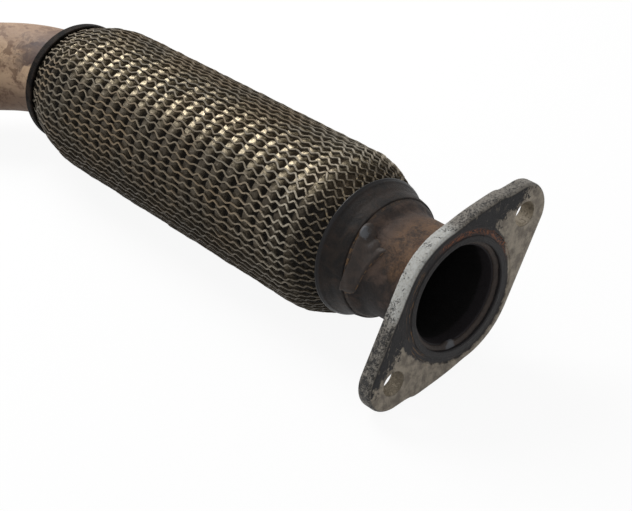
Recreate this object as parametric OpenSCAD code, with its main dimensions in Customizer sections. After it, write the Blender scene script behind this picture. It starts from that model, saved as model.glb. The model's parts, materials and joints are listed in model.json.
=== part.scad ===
// Exhaust flex pipe: a two-hole flange on a stepped neck, a flexible section of bellows and
// liner under a sleeve of zigzag strips, and a bent pipe behind it.
// Millimetres. X leaves the flange face, Z is up while the part lies on its sleeve and lower ear.
// Distances named s run back from the flange face, against X.

/* [Flange] */
// Thickness of the plate
flange_t = 7; // [5:0.5:12]
// Distance between the two bolt holes
hole_pitch = 88; // [80:1:110]
// Diameter of the bolt holes
hole_d = 11; // [8:0.5:13]
// Radius of the two ears
ear_r = 13.2; // [11:0.1:16]
// Radius of the round middle of the plate
round_r = 33; // [30:0.5:38]
// How far the shoulder on one flank of each ear stands out
shoulder_w = 1.6; // [0:0.1:3]
// Rounding of the plate's edges
edge_round = 1.2; // [0.4:0.1:2]
// Width of the ledge between the tube's end and the mouth of the bore
mouth_ledge = 1; // [0.6:0.1:2]
// How far the tube's end is set back from the face
tube_set = 3; // [1:0.5:4]
// Depth of the gasket's seat in the face
seat_depth = 0.4; // [0.2:0.1:0.8]
// Width of the gasket's seat
seat_w = 3; // [1:0.5:4]

/* [Neck and caps] */
// Outside diameter of the neck and of the rear pipe
tube_od = 46.6; // [40:0.1:60]
// Wall of the neck and of the rear pipe
tube_wall = 1.5; // [1:0.1:2.5]
// Length of the neck up to its step
neck_len = 34; // [28:1:60]
// Length of the step
step_len = 6; // [4:0.5:10]
// How much the step widens the tube, in radius
step_rise = 2.9; // [2:0.1:5]
// How deep the widened tube reaches into the flexible section
socket_len = 32; // [26:1:45]
// Length of the front cap, from its weld to the rim
cap_len = 13; // [11:0.5:20]
// Sheet thickness of the caps
cap_wall = 1.6; // [1:0.1:2.5]
// Width of the skirt on the rear cap
skirt_w = 6; // [4:0.5:10]
// Leg of the weld behind the flange
weld_leg = 3.4; // [2:0.2:5]
// Radius of the beads that close the caps
bead_r = 1.5; // [1:0.1:2.5]
// Radius of the lump where the neck's bead starts
lump_r = 4.2; // [3:0.1:6]
// Where the lump stands round the neck, from Y towards Z
lump_deg = 130; // [0:5:355]

/* [Flexible section] */
// Length of the sleeve of strips
mesh_len = 218; // [150:2:320]
// Outside diameter of the sleeve
mesh_od = 76; // [72:0.5:90]
// Zigzag strips round the sleeve, an even number
strips = 48; // [24:2:48]
// Waves of a strip along the sleeve
waves = 22; // [12:1:22]
// How far the strips stand out of the sleeve
strip_depth = 1.6; // [1:0.1:3]
// Thickness of the sleeve under the strips
mesh_back = 0.8; // [0.8:0.1:2]
// Side swing of a strip, as a share of the distance between strips
swing = 0.31; // [0.15:0.01:0.4]
// Every how many strips and half waves an open cell is cut right through
open_every = 4; // [4:4:12]
// Length over which the sleeve narrows at the front
taper_front = 18; // [10:1:30]
// Length over which the sleeve narrows at the rear
taper_rear = 29; // [16:1:40]
// Convolutions of the bellows
convolutions = 19; // [10:1:30]
// Sheet thickness of the bellows
bellows_wall = 0.8; // [0.5:0.1:1.2]
// Wall of the liner
liner_wall = 1.6; // [1.2:0.1:2.4]
// Turns of the liner's strip
liner_turns = 26; // [12:1:40]
// Wall of the rings that clamp the sleeve's ends
ring_wall = 1.2; // [0.8:0.1:2]
// Length of those rings
ring_len = 12; // [8:1:18]

/* [Rear pipe] */
// Radius of the bend, at the middle of the pipe
bend_r = 54; // [45:1:120]
// Angle of the bend
bend_deg = 45; // [15:5:90]
// Straight length behind the bend
tail_len = 30; // [10:1:120]
// How much the bend draws the pipe in, in radius
bend_draw = 0.3; // [0.2:0.05:0.6]
// How far the bend reaches into the straight lengths
bend_lap = 1.5; // [1:0.1:2]

/* [Clearances] */
// Gap between pieces that move when the section flexes
flex_gap = 0.4; // [0.3:0.05:0.8]
// Gap between pieces that are welded together
weld_gap = 0.1; // [0.05:0.05:0.3]
// Gap between the bellows and the sleeve
sleeve_gap = 0.6; // [0.4:0.1:1.5]

/* [Hidden] */
$fn = 96;
e = 0.5;

tube_r = tube_od / 2;
tube_ir = tube_r - tube_wall;
bend_tube_r = tube_r - bend_draw;
mouth_r = tube_r + mouth_ledge;
seat_ir = mouth_r + 2.6;
half_pitch = hole_pitch / 2;

// Radii inside the flexible section, from the gas path outwards
socket_r = tube_r + step_rise;
socket_ir = socket_r - tube_wall;
liner_r = socket_ir - flex_gap;
liner_ir = liner_r - liner_wall;
cuff_ir = socket_r + flex_gap;
cuff_r = cuff_ir + bellows_wall;
ring_ir = cuff_r + flex_gap;
ring_r = ring_ir + ring_wall;
mesh_end_ir = ring_r + flex_gap;
mesh_end_r = mesh_end_ir + 1.4;
lip_r = mesh_end_r + 0.5;
skirt_r = lip_r + 0.7;
mesh_r = mesh_od / 2;
crest_r = mesh_r - strip_depth - mesh_back - sleeve_gap;

// Stations along the axis
s_step = neck_len + step_len;
s_cap = s_step + 0.5;
s_lip = s_cap + cap_len;
s_mesh = s_lip + flex_gap;
s_mesh_end = s_mesh + mesh_len;
s_rear = s_mesh_end + flex_gap;
s_skirt = s_rear + skirt_w;
s_bend = s_skirt + 3;
s_socket_front = s_lip + socket_len - ring_len;
s_socket_rear = s_rear - socket_len + ring_len;
s_conv = s_mesh + taper_front;
s_conv_end = s_mesh_end - taper_rear;

// The part lies on the sleeve and on its lower ear, so the ear sets the roll of the flange
lie_deg = asin((mesh_r - ear_r) / half_pitch);
flank_deg = asin((round_r - ear_r) / half_pitch);
lap_deg = bend_lap / bend_r * 180 / PI;

// Turns local Z into the direction that runs back from the flange face
module on_axis() rotate([0, -90, 0]) children();

// A ring from radius and station pairs
module turned(points) on_axis() rotate_extrude() polygon(points);

// Points on an arc
function arc(c, r, a0, a1, n) = [for (i = [0 : n]) let (a = a0 + (a1 - a0) * i / n) c + r * [cos(a), sin(a)]];

// Half of the plate's outline, shrunk by d; the other half is the same turned by 180 degrees
function half_outline(d) = let (
    n = [sin(flank_deg), -cos(flank_deg)],
    ear = [half_pitch, 0],
    from = (round_r - d) * n,
    to = ear + (ear_r - d) * n,
    run = to - from
) concat(
    arc([0, 0], round_r - d, -90 - flank_deg, -90 + flank_deg, 14),
    [from + 0.25 * run + 0.8 * shoulder_w * n, from + 0.55 * run + shoulder_w * n,
        from + 0.74 * run + shoulder_w * n, from + 0.8 * run + 0.15 * shoulder_w * n],
    arc(ear, ear_r - d, -90 + flank_deg, 90 - flank_deg, 16)
);
function outline(d) = let (h = half_outline(d)) concat(h, [for (p = h) -p]);

// The plate as a stack of outlines, its edges rounded
module plate() {
    levels = [[0, edge_round], [0.3 * edge_round, 0.3 * edge_round], [edge_round, 0],
        [flange_t - edge_round, 0], [flange_t - 0.3 * edge_round, 0.3 * edge_round], [flange_t, edge_round]];
    count = len(outline(0));
    top = len(levels) - 1;
    points = [for (l = levels) for (p = outline(l[1])) [p[0], p[1], l[0]]];
    sides = [for (k = [0 : top - 1]) for (i = [0 : count - 1]) let (j = (i + 1) % count)
        for (t = [[k * count + i, (k + 1) * count + i, k * count + j],
            [k * count + j, (k + 1) * count + i, (k + 1) * count + j]]) t];
    ends = [[for (i = [0 : count - 1]) i], [for (i = [count - 1 : -1 : 0]) top * count + i]];
    polyhedron(points, concat(sides, ends), convexity = 4);
}

module flange() color([0.42, 0.4, 0.36]) on_axis() difference() {
    rotate([0, 0, 90 - lie_deg]) plate();
    translate([0, 0, -e]) cylinder(r = tube_r + weld_gap, h = flange_t + 2 * e);
    translate([0, 0, -e]) cylinder(r = mouth_r, h = tube_set + e);
    rotate([0, 0, 90 - lie_deg]) for (x = [-half_pitch, half_pitch])
        translate([x, 0, -e]) cylinder(d = hole_d, h = flange_t + 2 * e);
    rotate_extrude() translate([seat_ir, -e]) square([seat_w, seat_depth + e]);
}

// Seals the tube's end inside the mouth
module flange_inner_weld() color([0.3, 0.28, 0.27]) turned([
    [tube_r - 0.9, tube_set + 0.3], [tube_r - 0.5, tube_set - 0.7], [tube_r + 0.1, tube_set - 1.1],
    [mouth_r + 0.2, tube_set - 1.5], [mouth_r + 0.2, tube_set + 0.3]]);

// Fillet between the back of the plate and the neck
module flange_weld() color([0.3, 0.24, 0.2]) turned([
    [tube_r - 0.3, flange_t - 0.2], [tube_r + weld_leg, flange_t - 0.2],
    [tube_r + 0.62 * weld_leg, flange_t + 0.42 * weld_leg],
    [tube_r + 0.36 * weld_leg, flange_t + 0.8 * weld_leg],
    [tube_r, flange_t + 1.1 * weld_leg], [tube_r - 0.3, flange_t + 1.1 * weld_leg]]);

module neck() color([0.36, 0.26, 0.2]) turned([
    [tube_ir, tube_set], [tube_r, tube_set], [tube_r, neck_len],
    [tube_r + 0.15 * step_rise, neck_len + 0.25 * step_len],
    [tube_r + 0.85 * step_rise, neck_len + 0.75 * step_len], [socket_r, s_step], [socket_r, s_socket_front],
    [socket_ir, s_socket_front], [socket_ir, s_step + 0.8], [tube_ir, neck_len + 0.8]]);

// Bead that closes the front cap on the neck, with the lump where it starts; the lump stands on the
// neck and leaves the inside clear
module neck_weld() {
    mid = tube_wall / 2;
    back = s_cap + 2 * lump_r;
    color([0.24, 0.21, 0.2]) on_axis() {
        rotate_extrude() translate([socket_r + 0.35, s_cap]) circle(r = bead_r, $fn = 32);
        difference() {
            rotate([0, 0, 90 - lump_deg]) translate([socket_r - 0.9, 0, s_cap - 0.8])
                sphere(r = lump_r, $fn = 48);
            rotate_extrude() polygon([
                [tube_ir - 2 * lump_r, neck_len - lump_r], [tube_r - mid, neck_len - lump_r],
                [tube_r - mid, neck_len], [socket_r - mid, s_step], [socket_r - mid, back],
                [tube_ir - 2 * lump_r, back]]);
        }
    }
}

// Flared cap with a rounded lip, in front of the sleeve
module front_cap() {
    a = socket_r + weld_gap;
    w = cap_wall;
    rise = lip_r - a;
    color([0.2, 0.17, 0.15]) turned([
        [a, s_cap], [a + 0.7 * w, s_cap], [a + w + 0.06 * rise, s_cap + 0.22 * cap_len],
        [a + w + 0.22 * rise, s_cap + 0.48 * cap_len], [a + w + 0.42 * rise, s_cap + 0.68 * cap_len],
        [lip_r - 0.5, s_lip - 2.1], [lip_r, s_lip - 1.5], [lip_r, s_lip - 0.5], [lip_r - 0.5, s_lip],
        [lip_r - 1.2, s_lip], [a + 0.5 * rise, s_cap + 0.8 * cap_len], [a + 0.2 * rise, s_cap + 0.62 * cap_len],
        [a, s_cap + 0.45 * cap_len]]);
}

// Clamps the front end of the sleeve from inside and is welded to the cap
module front_ring() color([0.33, 0.31, 0.29]) turned([
    [ring_ir, s_lip - 1.4], [ring_r, s_lip - 1.4],
    [ring_r, s_lip + ring_len - 1.4], [ring_ir, s_lip + ring_len - 1.4]]);

// Radius of the sleeve's strips at distance d from the front end of the sleeve
function narrowing(d) = d < taper_front ? pow(1 - d / taper_front, 1.4) :
    mesh_len - d < taper_rear ? pow(1 - (mesh_len - d) / taper_rear, 1.6) : 0;
function strip_r(d) = mesh_r - (mesh_r - mesh_end_r) * narrowing(d);
function sleeve_wall(d) = 1.4 + (strip_depth + mesh_back - 1.4) * (1 - narrowing(d));

// Whether the cell between strip j and the next one is cut right through at half wave k
function cut_through(j, k) = k > 0 && k <= 2 * waves - 4 && k % open_every == 0 &&
    j % open_every == (k / open_every % 2 == 0 ? 1 : open_every / 2 + 1);

// The sleeve: strips side by side that swing in turn towards one neighbour and the other, so that
// each pair closes and opens into a cell; crests zigzag, the floors are low only in open cells, and
// some of those have no floor
module outer_mesh() {
    rings = 2 * waves;
    around = 2 * strips;
    pitch = 360 / strips;
    inner = concat([0], [for (k = [1 : 2 : rings - 1]) k], [rings]);
    outside = [for (k = [0 : rings]) let (d = mesh_len * k / rings, fade = k == 0 || k == rings ? 0.2 : 1)
        for (i = [0 : around - 1]) let (
            j = floor(i / 2),
            side = (j + k) % 2 == 0 ? 1 : -1,
            crest = i % 2 == 0,
            a = crest ? (j + side * swing) * pitch : (j + 0.5) * pitch,
            dip = (side < 0 ? 1 : 0.3) * fade * strip_depth * (1 - 0.6 * narrowing(d)),
            r = strip_r(d) - (crest ? 0 : dip)
        ) [r * cos(a), r * sin(a), s_mesh + d]];
    inside = [for (k = inner) let (d = mesh_len * k / rings, r = strip_r(d) - sleeve_wall(d))
        for (j = [0 : strips - 1]) [r * cos(j * pitch), r * sin(j * pitch), s_mesh + d]];
    base = len(outside);
    out_faces = [for (k = [0 : rings - 1]) for (i = [0 : around - 1])
        let (j = floor(i / 2), p = k * around, q = p + around, n = (i + 1) % around)
        if (!cut_through(j, k) && !cut_through(j, k + 1))
            for (t = [[p + i, q + i, p + n], [p + n, q + i, q + n]]) t];
    in_faces = [for (n = [0 : waves]) for (j = [0 : strips - 1])
        let (p = base + n * strips, q = p + strips, m = (j + 1) % strips)
        if (!cut_through(j, 2 * n)) for (t = [[p + j, p + m, q + j], [p + m, q + m, q + j]]) t];
    // Four sides of each cut, from the edge of the cell down to the inside
    cut_faces = [for (k = [2 : 2 : rings - 4]) for (j = [0 : strips - 1]) let (
            a = 2 * j, b = a + 1, c = (a + 2) % around, n = (j + 1) % strips,
            f = (k - 1) * around, m = k * around, g = (k + 1) * around,
            p = base + k / 2 * strips, q = p + strips)
        if (cut_through(j, k)) for (t = [
            [f + b, f + a, p + j], [f + c, f + b, p + n], [f + b, p + j, p + n],
            [m + c, f + c, p + n], [g + c, m + c, q + n], [m + c, p + n, q + n],
            [g + a, g + b, q + j], [g + b, g + c, q + n], [g + b, q + n, q + j],
            [f + a, m + a, p + j], [m + a, g + a, q + j], [m + a, q + j, p + j]]) t];
    end_faces = [for (j = [0 : strips - 1]) let (
            a = 2 * j, b = a + 1, c = (a + 2) % around, n = (j + 1) % strips,
            g = rings * around, q = base + (waves + 1) * strips)
        for (t = [[a, b, base + j], [b, c, base + n], [b, base + n, base + j],
            [g + b, g + a, q + j], [g + c, g + b, q + n], [g + b, q + j, q + n]]) t];
    color([0.45, 0.41, 0.34]) on_axis() polyhedron(concat(outside, inside),
        concat(out_faces, in_faces, cut_faces, end_faces), convexity = 10);
}

// One side of the bellows' sheet, from a cuff over the convolutions to the other cuff
function wave(low, high) = let (p = (s_conv_end - s_conv) / convolutions) concat(
    [[low, s_lip + 1]],
    [for (i = [0 : convolutions - 1]) let (s = s_conv + i * p)
        for (t = [[low, 0.04], [high - 0.7, 0.2], [high, 0.32], [high, 0.68], [high - 0.7, 0.8], [low, 0.96]])
            [t[0], s + t[1] * p]],
    [[low, s_rear - 1]]);
module bellows() {
    outer = wave(cuff_r, crest_r);
    inner = wave(cuff_ir, crest_r - bellows_wall);
    color([0.5, 0.44, 0.36]) turned(concat(outer, [for (i = [len(inner) - 1 : -1 : 0]) inner[i]]));
}

// The gas path's liner, a strip wound so that each turn hooks into the next
module liner() {
    s0 = s_step + 3;
    s1 = s_skirt - 7.5;
    p = (s1 - s0) / liner_turns;
    groove = 0.5;
    color([0.3, 0.29, 0.28]) turned(concat(
        [[liner_ir, s0], [liner_r, s0]],
        [for (i = [0 : liner_turns - 2]) let (s = s0 + i * p)
            for (t = [[liner_r, 0.7], [liner_r - groove, 0.74], [liner_r - groove, 0.96], [liner_r, 1]])
                [t[0], s + t[1] * p]],
        [[liner_r, s1], [liner_ir, s1]],
        [for (i = [liner_turns - 2 : -1 : 0]) let (s = s0 + i * p)
            for (t = [[liner_ir, 0.5], [liner_ir + groove, 0.46], [liner_ir + groove, 0.24], [liner_ir, 0.2]])
                [t[0], s + t[1] * p]]));
}

module rear_ring() color([0.33, 0.31, 0.29]) turned([
    [ring_ir, s_rear + 2.2], [ring_r, s_rear + 2.2],
    [ring_r, s_rear + 2.2 - ring_len], [ring_ir, s_rear + 2.2 - ring_len]]);

// Cup over the rear end of the sleeve, closed on the pipe
module rear_cap() {
    a = tube_r + 1.2;
    w = cap_wall;
    color([0.12, 0.11, 0.1]) turned([
        [skirt_r - w, s_rear + 0.5], [skirt_r - 0.5 * w, s_rear],
        [skirt_r - 0.3, s_rear + 0.1], [skirt_r, s_rear + 0.6],
        [skirt_r, s_skirt - 1.6], [skirt_r - 0.5, s_skirt - 0.5], [skirt_r - 1.6, s_skirt], [a, s_skirt + 2],
        [a, s_skirt + 2 - w], [ring_r, s_skirt - w],
        [ring_r, s_rear + 2.4 + w], [ring_ir + 0.2, s_rear + 2.4 + w],
        [ring_ir + 0.2, s_rear + 2.3], [skirt_r - w, s_rear + 2.3]]);
}

// Bead between the rear cap and the pipe
module rear_weld() color([0.2, 0.17, 0.15]) on_axis() rotate_extrude()
    translate([tube_r + 0.8, s_skirt + 2]) circle(r = bead_r, $fn = 32);

// The pipe from its widened end through the bend to a plain cut end
module rear_pipe() color([0.52, 0.43, 0.37]) {
    turned([[socket_ir, s_socket_rear], [socket_r, s_socket_rear], [socket_r, s_rear],
        [tube_r, s_skirt - tube_wall], [tube_r, s_bend], [tube_ir, s_bend],
        [tube_ir, s_skirt - tube_wall - flex_gap], [socket_ir, s_rear - flex_gap]]);
    translate([-s_bend, -bend_r, 0]) rotate([0, 0, 90]) {
        rotate([0, 0, -lap_deg]) rotate_extrude(angle = bend_deg + 2 * lap_deg) translate([bend_r, 0])
            difference() {
                circle(r = bend_tube_r);
                circle(r = bend_tube_r - tube_wall);
            }
        rotate([0, 0, bend_deg]) translate([bend_r, 0, 0]) rotate([-90, 0, 0]) difference() {
            cylinder(r = tube_r, h = tail_len);
            translate([0, 0, -e]) cylinder(r = tube_ir, h = tail_len + 2 * e);
        }
    }
}

flange();
flange_inner_weld();
flange_weld();
neck();
neck_weld();
front_cap();
front_ring();
outer_mesh();
bellows();
liner();
rear_ring();
rear_cap();
rear_weld();
rear_pipe();
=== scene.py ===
import json
import math
import random

import bmesh
import bpy
import numpy as np
from bpy.props import FloatProperty, FloatVectorProperty, IntProperty, PointerProperty
from mathutils import Matrix, Vector
from mathutils.geometry import delaunay_2d_cdt


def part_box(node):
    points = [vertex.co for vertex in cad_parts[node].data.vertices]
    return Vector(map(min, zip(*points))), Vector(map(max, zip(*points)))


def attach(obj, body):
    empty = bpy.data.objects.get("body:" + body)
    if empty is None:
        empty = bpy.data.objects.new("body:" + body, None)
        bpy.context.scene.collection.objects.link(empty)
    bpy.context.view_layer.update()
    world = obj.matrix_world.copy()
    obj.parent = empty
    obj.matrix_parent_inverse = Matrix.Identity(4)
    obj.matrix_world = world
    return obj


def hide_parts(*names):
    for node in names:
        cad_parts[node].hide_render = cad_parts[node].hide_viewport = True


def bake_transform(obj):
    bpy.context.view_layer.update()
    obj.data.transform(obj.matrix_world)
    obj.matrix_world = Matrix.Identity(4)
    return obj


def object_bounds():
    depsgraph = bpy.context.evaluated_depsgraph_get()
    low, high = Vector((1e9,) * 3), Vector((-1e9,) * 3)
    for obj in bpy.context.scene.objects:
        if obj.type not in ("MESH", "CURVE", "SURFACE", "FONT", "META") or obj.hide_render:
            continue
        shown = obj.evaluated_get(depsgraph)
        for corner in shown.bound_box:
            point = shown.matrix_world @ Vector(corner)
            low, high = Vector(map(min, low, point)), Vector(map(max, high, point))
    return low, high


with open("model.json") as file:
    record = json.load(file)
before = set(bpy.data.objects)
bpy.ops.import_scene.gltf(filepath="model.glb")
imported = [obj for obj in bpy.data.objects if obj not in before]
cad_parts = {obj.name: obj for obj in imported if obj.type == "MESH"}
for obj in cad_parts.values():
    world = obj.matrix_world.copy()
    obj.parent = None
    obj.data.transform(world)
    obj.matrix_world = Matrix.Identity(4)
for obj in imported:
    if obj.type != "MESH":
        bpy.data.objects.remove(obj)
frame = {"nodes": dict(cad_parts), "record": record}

bl_info = {
    "name": "Exhaust flex pipe",
    "version": (1, 0, 0),
    "blender": (4, 5, 0),
    "location": "View3D > Sidebar > Flex pipe",
    "description": "Dresses the packed solids of an exhaust flex pipe with worn steel pieces",
    "category": "Add Mesh",
}

CAD_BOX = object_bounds()
FLOOR = CAD_BOX[0].z
# A millimetre of the sizes below, in the metres of the scene
MM = 0.001


def ends(node):
    """Front and rear end of a node, in millimetres back from the flange face, and its highest radius."""
    low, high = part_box(node)
    return -high.x / MM, -low.x / MM, high.z / MM


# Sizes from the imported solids, in millimetres; stations count back from the flange face
MOUNTS = {mount["name"]: mount["dims"] for mount in frame["record"]["mounts"]}
HALF_PITCH = MOUNTS["flange_holes"]["pcd_mm"] / 2
HOLE_R = MOUNTS["flange_holes"]["hole_r_mm"]
TUBE_R = MOUNTS["outlet_end"]["r_mm"]
BORE_R = MOUNTS["gas_inlet"]["r_mm"]
FLANGE_T = ends("flange")[1]
NECK_FRONT, NECK_REAR, SOCKET_R = ends("neck")
CAP_FRONT, CAP_REAR, LIP_R = ends("front_cap")
SLEEVE_FRONT, SLEEVE_REAR, SLEEVE_R = ends("outer_mesh")
BELLOWS_FRONT, BELLOWS_REAR, CREST_R = ends("bellows")
LINER_FRONT, LINER_REAR, LINER_R = ends("liner")
SKIRT_FRONT, SKIRT_REAR, SKIRT_R = ends("rear_cap")
PIPE_FRONT = ends("rear_pipe")[0]
MIDDLE = (SLEEVE_FRONT + SLEEVE_REAR) / 2

# Sizes that the boxes and mounts don't tell: plate, gasket seat, neck step, sleeve ends, bellows and bend
EAR_R, ROUND_R, SHOULDER = 13.2, 33.0, 1.6
MOUTH_R = TUBE_R + 1.0
SEAT_IN, SEAT_OUT, SEAT_DEPTH = 26.9, 29.9, 0.4
STEP_FRONT, STEP_REAR, STEP_SOFT = 34.0, 40.0, 0.45
SLEEVE_END_R, TAPER_FRONT, TAPER_REAR = 30.8, 18.0, 29.0
CUFF_R, CONVOLUTIONS = 27.4, 19
# The grooves of the bellows as far as they are seen, so that no light shows from one side to the other
GROOVE_DEPTH = 3.0
BEND_R, BEND, TAIL = 54.0, math.radians(45), 30.0
BEND_START = 281.3
# The plate is rolled until the part lies on its sleeve and its lower ear
LIE_R = 38.0
LIE = math.asin((LIE_R - EAR_R) / HALF_PITCH)


def shade(red, green, blue):
    """A colour as the eye names it, 0 to 255, turned into the linear values of a shader."""
    tones = (tone / 255 for tone in (red, green, blue))
    return tuple(t / 12.92 if t < 0.0392 else ((t + 0.055) / 1.055) ** 2.4 for t in tones)


def colour(name, about, *tone):
    """A colour that a user may change."""
    return FloatVectorProperty(name=name, description=about, subtype="COLOR", size=3, min=0, max=1,
                               default=shade(*tone))


def length(name, about, value):
    """A size that a user may change, given here in millimetres."""
    return FloatProperty(name=name, description=about, default=value * MM, min=0, unit="LENGTH",
                         precision=5)


class FlexPipeSizes(bpy.types.PropertyGroup):
    """Sizes of what the scene adds to the solids"""

    strips: IntProperty(name="Strips", description="Zigzag strips round the sleeve, an even number",
                        default=68, min=24, max=80)
    waves: IntProperty(name="Waves", description="Waves of a strip along the sleeve",
                       default=30, min=12, max=40)
    strip_thickness: length("Strip thickness", "Sheet thickness of a zigzag strip", 0.7)
    strip_depth: length("Strip depth", "How deep a zigzag strip stands on edge", 1.2)
    crest_lift: length("Crest lift", "Rise of the bellows' crests towards the strips, over the solids", 1.45)
    swing: FloatProperty(name="Swing", description="Side swing of a strip, as a share of its room",
                         default=0.4, min=0.2, max=1)
    edge_round: length("Plate edge", "Rounding of the plate's front edge", 2.0)
    ripple: length("Weld ripple", "Height of the ripples on the welds", 0.25)


class FlexPipeColours(bpy.types.PropertyGroup):
    """Colours of the finishes"""

    plate: colour("Plate", "Bare face of the flange", 146, 137, 123)
    plate_dark: colour("Stained plate", "Stained face of the flange", 102, 94, 84)
    plate_edge: colour("Plate edge", "Weathered edge of the flange", 178, 179, 176)
    soot: colour("Soot", "Baked soot and old gasket", 27, 26, 27)
    gasket: colour("Gasket print", "Ring that the gasket left", 38, 35, 35)
    rust: colour("Rust", "Fresh rust", 118, 70, 44)
    rust_dark: colour("Old rust", "Brown rust of the neck", 72, 56, 47)
    scale: colour("Scale", "Dark scale on the neck and the cap", 44, 38, 35)
    weld: colour("Weld", "Blue-grey skin of a weld", 84, 86, 90)
    ochre: colour("Ochre", "Ochre rims round the weld", 106, 80, 52)
    strip: colour("Strip", "Zigzag strips", 112, 105, 92)
    # This colour also paints shade deep in, low down and on top of the sleeve
    strip_dirt_and_shade: colour("Strip dirt", "Dirt deep in the sleeve", 46, 40, 32)
    bellows: colour("Bellows", "Heat tint of the bellows", 162, 150, 126)
    liner: colour("Liner", "Sooted liner", 40, 36, 34)
    cup: colour("Rear cap", "Black rear cap", 15, 13, 12)
    pipe: colour("Pipe", "Tan pipe", 178, 151, 124)
    # This colour also paints shade along the pipe's top
    pipe_bloom_and_shade: colour("Pipe shade", "Brown bloom of the pipe", 108, 82, 65)
    pipe_stain: colour("Pipe stain", "Purple-brown stains of the pipe", 62, 47, 46)


def maths(operation, flipped=False):
    """An operator of shader values, which adds a Math node."""
    def apply(self, other):
        return self.nodes.math(operation, *((other, self) if flipped else (self, other)))
    return apply


class Signal:
    """A shader value on which Python's arithmetic adds Math nodes."""

    def __init__(self, nodes, socket):
        self.nodes, self.socket = nodes, socket

    __add__, __radd__ = maths("ADD"), maths("ADD", True)
    __sub__, __rsub__ = maths("SUBTRACT"), maths("SUBTRACT", True)
    __mul__, __rmul__ = maths("MULTIPLY"), maths("MULTIPLY", True)
    __pow__, __rpow__ = maths("POWER"), maths("POWER", True)
    most = maths("MAXIMUM")

    def __neg__(self):
        return self * -1.0

    def __abs__(self):
        return self.nodes.math("ABSOLUTE", self)

    def beside(self, output):
        """Another output of the node that this value comes from."""
        return Signal(self.nodes, self.socket.node.outputs[output])


class Nodes:
    """The emptied node tree of a material or a world."""

    def __init__(self, owner):
        owner.use_nodes = True
        self.tree = owner.node_tree
        self.tree.nodes.clear()

    def node(self, kind, settings=None, inputs=None, out=0):
        """Any node: its settings first, then the values or links of its sockets."""
        node = self.tree.nodes.new(f"ShaderNode{kind}")
        for key, value in (settings or {}).items():
            setattr(node, key, value)
        for key, value in (inputs or {}).items():
            self.feed(node.inputs[key], value)
        return Signal(self, node.outputs[out]) if node.outputs else None

    def feed(self, socket, value):
        if isinstance(value, Signal):
            self.tree.links.new(value.socket, socket)
        elif socket.type == "RGBA":
            socket.default_value = (*value, 1.0)
        else:
            socket.default_value = value

    def math(self, operation, *values):
        return self.node("Math", {"operation": operation}, dict(enumerate(values)))

    def seen(self):
        """1 for what the camera, a reflection or glass sees directly."""
        camera = self.node("LightPath", out="Is Camera Ray")
        return camera.most(camera.beside("Is Glossy Ray")).most(camera.beside("Is Transmission Ray"))


class Finish(Nodes):
    """A procedural material; s, y and z are places in millimetres, s counted back from the flange face."""

    def __init__(self, name, gloss=0.5):
        self.material = bpy.data.materials.new(f"worn_{name}")
        super().__init__(self.material)
        self.gloss = gloss
        place = self.node("TexCoord", out="Object")
        self.place = self.node("VectorMath", {"operation": "SCALE"}, {0: place, "Scale": 1 / MM})
        x, self.y, self.z = self.parts(self.place)
        self.s = -x
        self.face = self.parts(place.beside("Normal"))[0]

    def parts(self, vector):
        x = self.node("SeparateXYZ", None, {0: vector})
        return x, x.beside(1), x.beside(2)

    def join(self, x, y, z):
        return self.node("CombineXYZ", None, {0: x, 1: y, 2: z})

    def stretch(self, x, y, z):
        return self.node("VectorMath", {"operation": "MULTIPLY"}, {0: self.place, 1: (x, y, z)})

    def noise(self, scale, detail=5.0, rough=0.6, at=None, warp=0.0):
        return self.node("TexNoise", None, {
            "Vector": at or self.place, "Scale": scale, "Detail": detail, "Roughness": rough,
            "Distortion": warp})

    def step(self, value, low, high, top=1.0):
        """Rises smoothly from 0 at low to top at high; falls where low is the greater."""
        return self.node("MapRange", {"interpolation_type": "SMOOTHSTEP"}, {
            "Value": value, "From Min": low, "From Max": high, "To Min": 0.0, "To Max": top})

    def band(self, value, low, high, soft):
        """1 between low and high, with soft ends."""
        return self.step(value, low - soft, low + soft) * self.step(value, high + soft, high - soft)

    def mix(self, share, below, above):
        return self.node("Mix", {"data_type": "RGBA"}, {0: share, 6: below, 7: above}, 2)

    def cover(self, share, tone):
        """Lays a colour over the base by its share."""
        self.base = self.mix(share, self.base, tone)

    def radius(self):
        return (self.y * self.y + self.z * self.z) ** 0.5

    def round(self):
        """Angle round the axis from the side of the camera, over the top."""
        return self.math("ARCTAN2", self.z, -self.y)

    def attribute(self, name):
        return self.node("Attribute", {"attribute_name": name}, None, 2)

    def done(self, roughness, height, distance, metallic=0.0):
        """The finished material; height is its bump, and distance that bump's size in millimetres."""
        bump = self.node("Bump", None, {"Strength": 1.0, "Distance": distance * MM, "Height": height})
        shader = self.node("BsdfPrincipled", None, {
            "Base Color": self.base, "Roughness": roughness, "Metallic": metallic,
            "Specular IOR Level": self.gloss, "Normal": bump})
        self.node("OutputMaterial", None, {0: shader})
        return self.material


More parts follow.
